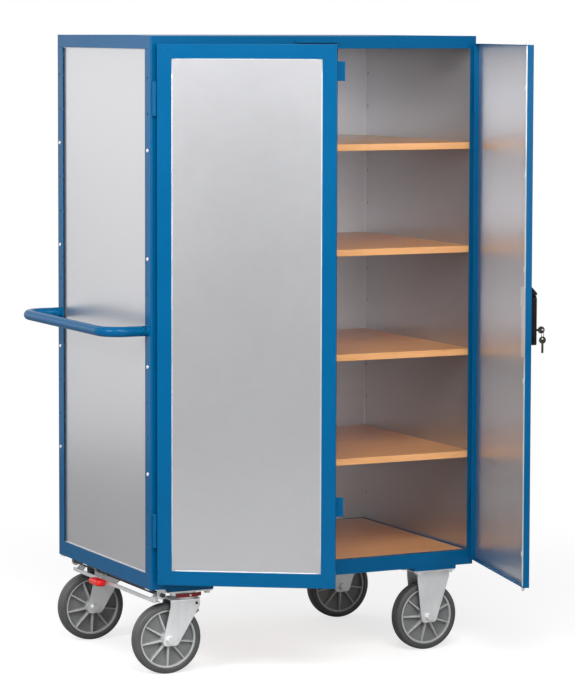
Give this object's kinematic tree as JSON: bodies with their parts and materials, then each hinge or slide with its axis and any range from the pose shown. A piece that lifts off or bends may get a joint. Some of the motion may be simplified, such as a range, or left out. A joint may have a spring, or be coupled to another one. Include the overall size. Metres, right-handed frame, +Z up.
{
  "type": "enclosed utility cart",
  "caption": "Enclosed steel cupboard trolley with hinged double doors, wooden shelves, a side push handle, fixed and swivel casters and a foot brake.",
  "frame": {"origin": "On the floor under the middle of the cabinet, without doors and handle", "axes": "+Z up, the doors face -Y, the push handle and the swivel casters are at the -X end"},
  "size_m": [1.168, 1.1836, 1.79],
  "materials": {
    "blue_paint": "satin powder coat",
    "galvanised_sheet": "matt zinc coated sheet",
    "beech_board": "smooth coated board",
    "zinc_plate": "bright zinc plate",
    "black_plastic": "satin moulded",
    "nickel": "nickel plated",
    "dark_steel": "oiled steel",
    "bearing_steel": "ground",
    "wheel_centre": "moulded",
    "grey_tyre": "matt elastic rubber",
    "red_pedal": "moulded",
    "red_paint": "painted"
  },
  "bodies": {
    "cabinet": {"base_frame": "blue_paint", "top_frame": "blue_paint", "corner_posts": "blue_paint", "roof_panel": "galvanised_sheet", "side_panel_left": "galvanised_sheet", "side_panel_right": "galvanised_sheet", "back_panel": "galvanised_sheet", "base_deck": "beech_board", "shelf_1": "beech_board", "shelf_2": "beech_board", "shelf_3": "beech_board", "shelf_4": "beech_board", "shelf_screws": "zinc_plate", "push_handle": "blue_paint", "hinge_pins": "blue_paint", "rod_keepers": "blue_paint", "fixed_caster_forks": "zinc_plate", "fixed_caster_axles": "zinc_plate", "swivel_top_plates": "zinc_plate", "caster_bolts": "zinc_plate", "brake_brackets": "zinc_plate"},
    "left_door": {"left_door_frame": "blue_paint", "left_door_panel": "galvanised_sheet", "left_hinge_sleeves": "blue_paint"},
    "right_door": {"right_door_frame": "blue_paint", "right_door_panel": "galvanised_sheet", "right_hinge_sleeves": "blue_paint", "lock_case": "zinc_plate", "lock_base": "black_plastic", "rod_guides": "zinc_plate"},
    "door_handle": {"lock_lever": "black_plastic", "lock_spindle": "zinc_plate"},
    "cylinder_key": {"lock_plug": "nickel", "key": "nickel"},
    "hanging_key": {"spare_key": "nickel"},
    "upper_rod": {"lock_rod_top": "zinc_plate"},
    "lower_rod": {"lock_rod_bottom": "zinc_plate"},
    "swivel_front": {"swivel_fork_front": "zinc_plate", "swivel_axle_front": "zinc_plate"},
    "swivel_rear": {"swivel_fork_rear": "zinc_plate", "swivel_axle_rear": "zinc_plate"},
    "shoe_front": {"brake_shoe_front": "dark_steel"},
    "shoe_rear": {"brake_shoe_rear": "dark_steel"},
    "foot_brake": {"brake_bar": "zinc_plate", "brake_shaft": "dark_steel", "brake_pedal": "red_pedal"},
    "red_lever_front": {"brake_lever_front": "red_paint"},
    "red_lever_rear": {"brake_lever_rear": "red_paint"},
    "wheel_left_front": {"tyre_left_front": "grey_tyre", "rim_left_front": "wheel_centre", "bearing_left_front": "bearing_steel"},
    "wheel_left_rear": {"tyre_left_rear": "grey_tyre", "rim_left_rear": "wheel_centre", "bearing_left_rear": "bearing_steel"},
    "wheel_right_front": {"tyre_right_front": "grey_tyre", "rim_right_front": "wheel_centre", "bearing_right_front": "bearing_steel"},
    "wheel_right_rear": {"tyre_right_rear": "grey_tyre", "rim_right_rear": "wheel_centre", "bearing_right_rear": "bearing_steel"}
  },
  "joints": [
    {"name": "left_door_hinge", "type": "hinge", "parent": "cabinet", "child": "left_door", "pos_m": [-0.506, -0.349, 1.02], "axis": [0, 0, 1], "range_deg": [-137.5, 32.5]},
    {"name": "right_door_hinge", "type": "hinge", "parent": "cabinet", "child": "right_door", "pos_m": [0.506, -0.349, 1.02], "axis": [0, 0, 1], "range_deg": [-77.5, 92.5]},
    {"name": "door_handle_turn", "type": "hinge", "parent": "right_door", "child": "door_handle", "pos_m": [0.41274, -0.82049, 1.068], "axis": [0.9763, -0.2164, 0], "range_deg": [0, 90]},
    {"name": "upper_rod_slide", "type": "slide", "parent": "right_door", "child": "upper_rod", "axis": [0, 0, 1], "range_m": [-0.01415, 0]},
    {"name": "lower_rod_slide", "type": "slide", "parent": "right_door", "child": "lower_rod", "axis": [0, 0, 1], "range_m": [0, 0.01415]},
    {"name": "key_turn", "type": "hinge", "parent": "door_handle", "child": "cylinder_key", "pos_m": [0.43178, -0.82471, 0.983], "axis": [0.9763, -0.2164, 0], "range_deg": [0, 90]},
    {"name": "spare_key_swing", "type": "hinge", "parent": "cylinder_key", "child": "hanging_key", "pos_m": [0.4513, -0.82904, 0.9816], "axis": [0.2164, 0.9763, 0], "range_deg": [-60, 12]},
    {"name": "foot_brake_press", "type": "hinge", "parent": "cabinet", "child": "foot_brake", "pos_m": [-0.474, 0, 0.231], "axis": [0, -1, 0], "range_deg": [0, 12]},
    {"name": "swivel_front_turn", "type": "hinge", "parent": "cabinet", "child": "swivel_front", "pos_m": [-0.39, -0.285, 0.225], "axis": [0, 0, 1], "continuous": true},
    {"name": "wheel_left_front_roll", "type": "hinge", "parent": "swivel_front", "child": "wheel_left_front", "pos_m": [-0.44292, -0.28204, 0.1], "axis": [0.0558, 0.9984, 0], "continuous": true},
    {"name": "shoe_front_press", "type": "hinge", "parent": "swivel_front", "child": "shoe_front", "pos_m": [-0.36304, -0.28651, 0.2], "axis": [0.0558, 0.9984, 0], "range_deg": [0, 2.5]},
    {"name": "red_lever_front_rock", "type": "hinge", "parent": "cabinet", "child": "red_lever_front", "pos_m": [-0.39, -0.3295, 0.226], "axis": [0, 1, 0], "range_deg": [0, 5]},
    {"name": "wheel_right_front_roll", "type": "hinge", "parent": "cabinet", "child": "wheel_right_front", "pos_m": [0.381, -0.285, 0.1], "axis": [0, 1, 0], "continuous": true},
    {"name": "swivel_rear_turn", "type": "hinge", "parent": "cabinet", "child": "swivel_rear", "pos_m": [-0.39, 0.267, 0.225], "axis": [0, 0, 1], "continuous": true},
    {"name": "wheel_left_rear_roll", "type": "hinge", "parent": "swivel_rear", "child": "wheel_left_rear", "pos_m": [-0.44299, 0.26802, 0.1], "axis": [0.0192, 0.9998, 0], "continuous": true},
    {"name": "shoe_rear_press", "type": "hinge", "parent": "swivel_rear", "child": "shoe_rear", "pos_m": [-0.363, 0.26648, 0.2], "axis": [0.0192, 0.9998, 0], "range_deg": [0, 2.5]},
    {"name": "red_lever_rear_rock", "type": "hinge", "parent": "cabinet", "child": "red_lever_rear", "pos_m": [-0.39, 0.3115, 0.226], "axis": [0, 1, 0], "range_deg": [0, 5]},
    {"name": "wheel_right_rear_roll", "type": "hinge", "parent": "cabinet", "child": "wheel_right_rear", "pos_m": [0.381, 0.267, 0.1], "axis": [0, 1, 0], "continuous": true}
  ],
  "couplings": [
    {"joint": "upper_rod_slide", "follows": "door_handle_turn", "m_per_rad": -0.009003},
    {"joint": "lower_rod_slide", "follows": "door_handle_turn", "m_per_rad": 0.009003},
    {"joint": "red_lever_front_rock", "follows": "foot_brake_press", "ratio": 0.4166},
    {"joint": "shoe_front_press", "follows": "foot_brake_press", "ratio": 0.2083},
    {"joint": "red_lever_rear_rock", "follows": "foot_brake_press", "ratio": 0.4166},
    {"joint": "shoe_rear_press", "follows": "foot_brake_press", "ratio": 0.2083}
  ]
}
